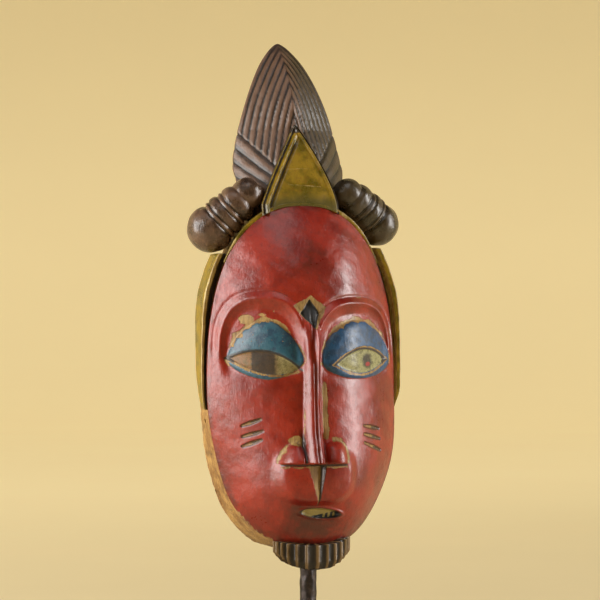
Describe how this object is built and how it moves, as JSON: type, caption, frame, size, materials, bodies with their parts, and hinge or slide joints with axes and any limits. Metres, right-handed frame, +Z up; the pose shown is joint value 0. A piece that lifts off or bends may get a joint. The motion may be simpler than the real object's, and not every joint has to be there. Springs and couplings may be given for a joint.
{
  "type": "carved mask on stand",
  "caption": "Carved and painted wooden face mask with a tall combed crest, side buns, lappets and fluted beard, on an iron rod stand with a block base.",
  "frame": {"origin": "centre of the stand's foot, on the surface it stands on", "axes": "+Z up along the rod, -Y the way the mask looks, +X to the viewer's right"},
  "size_m": [0.1513, 0.112, 0.4515],
  "materials": {
    "dark_stained_wood": "satin, nearly black stain",
    "felt": "matt wool felt",
    "blackened_iron": "hammered, waxed black-brown",
    "screw_steel": "dull steel",
    "red_paint": "satin red paint rubbed to bare wood on the edges",
    "bare_wood": "bare ochre wood with adze marks",
    "hair_brown": "dark brown stain, burnished on the ridges",
    "yellow_paint": "glossy olive-yellow paint, worn"
  },
  "bodies": {
    "stand": {"base_block": "dark_stained_wood", "base_felt": "felt", "rod_flange": "blackened_iron", "flange_screws": "screw_steel", "grub_screw": "screw_steel"},
    "rod": {"rod": "blackened_iron"},
    "mask": {"face": "red_paint", "chin_block": "bare_wood", "left_rim": "bare_wood", "right_rim": "bare_wood", "crown_block": "bare_wood", "hair_crest": "hair_brown", "forehead_panel": "yellow_paint", "hair_band": "yellow_paint", "left_lappet": "yellow_paint", "right_lappet": "yellow_paint", "left_bun": "hair_brown", "right_bun": "hair_brown", "beard": "hair_brown"}
  },
  "joints": [
    {"name": "rod_turn", "type": "hinge", "parent": "stand", "child": "rod", "pos_m": [0, -0.018, 0.03], "axis": [0, 0, 1], "continuous": true},
    {"name": "mask_lift", "type": "slide", "parent": "rod", "child": "mask", "axis": [0, 0, 1], "range_m": [0, 0.06]}
  ]
}
